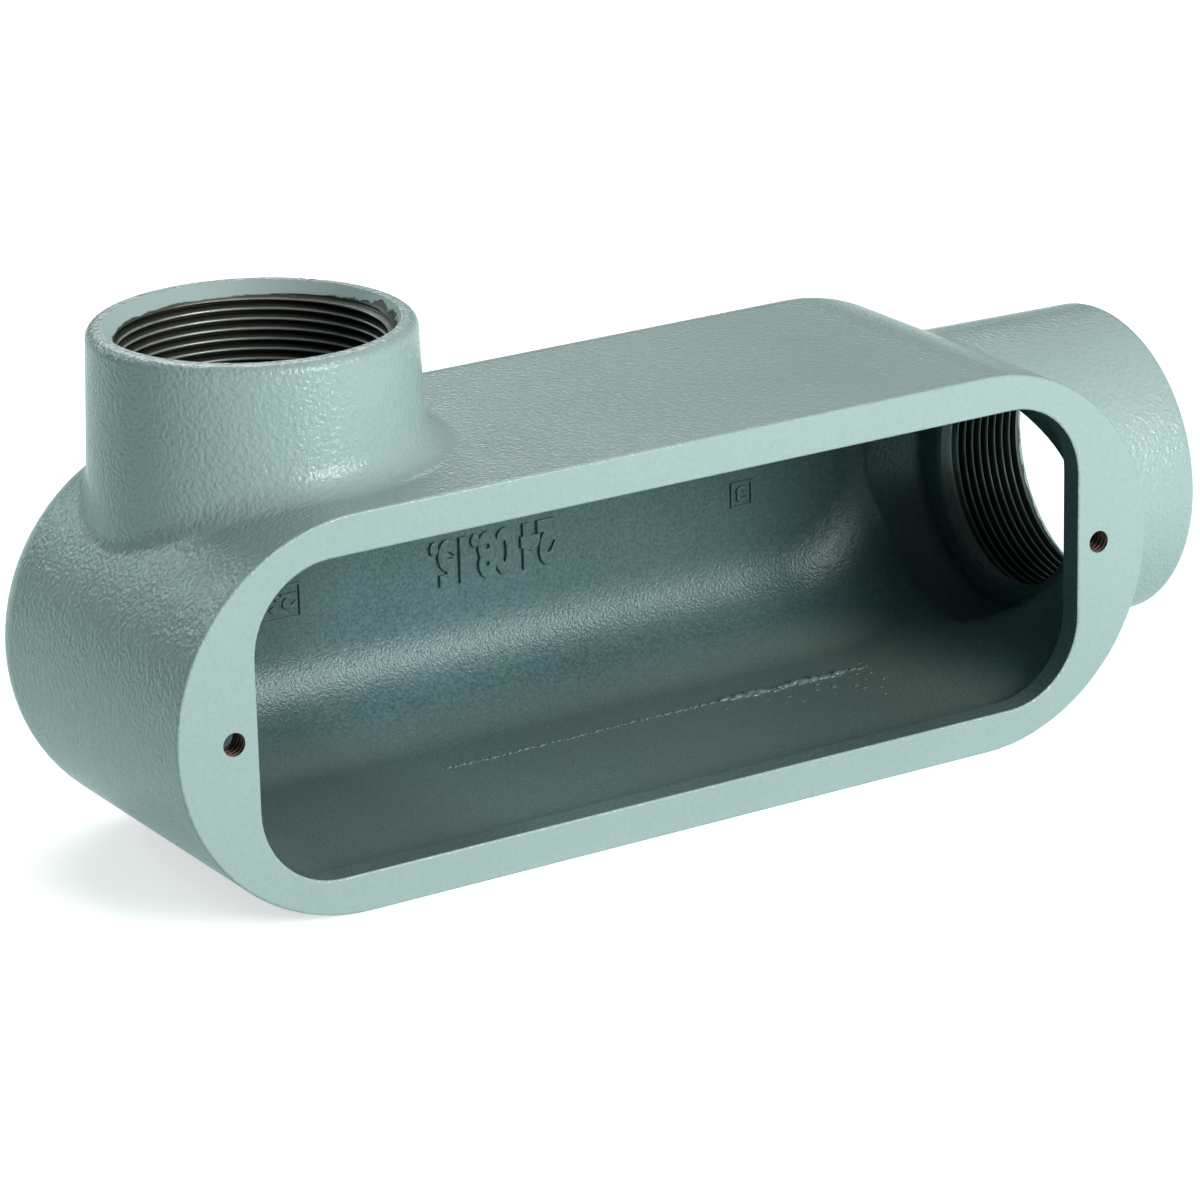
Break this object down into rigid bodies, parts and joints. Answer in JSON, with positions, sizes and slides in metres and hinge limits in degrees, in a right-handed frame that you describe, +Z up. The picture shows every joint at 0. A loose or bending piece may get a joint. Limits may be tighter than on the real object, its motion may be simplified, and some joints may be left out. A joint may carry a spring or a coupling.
{
  "type": "conduit body",
  "caption": "Cast conduit body: a long box with an open cover face, a tapped hub on one side and a tapped hub on one end.",
  "frame": {"origin": "middle of the flat cover face, halfway between the two cover screw holes", "axes": "+X along the box to the end hub, +Y from the cover face into the box, +Z up to the side hub"},
  "size_m": [0.271, 0.0879, 0.1151],
  "materials": {
    "painted_casting": "gloss grey-green paint"
  },
  "bodies": {
    "root": {"cast_body": "painted_casting"}
  },
  "joints": []
}
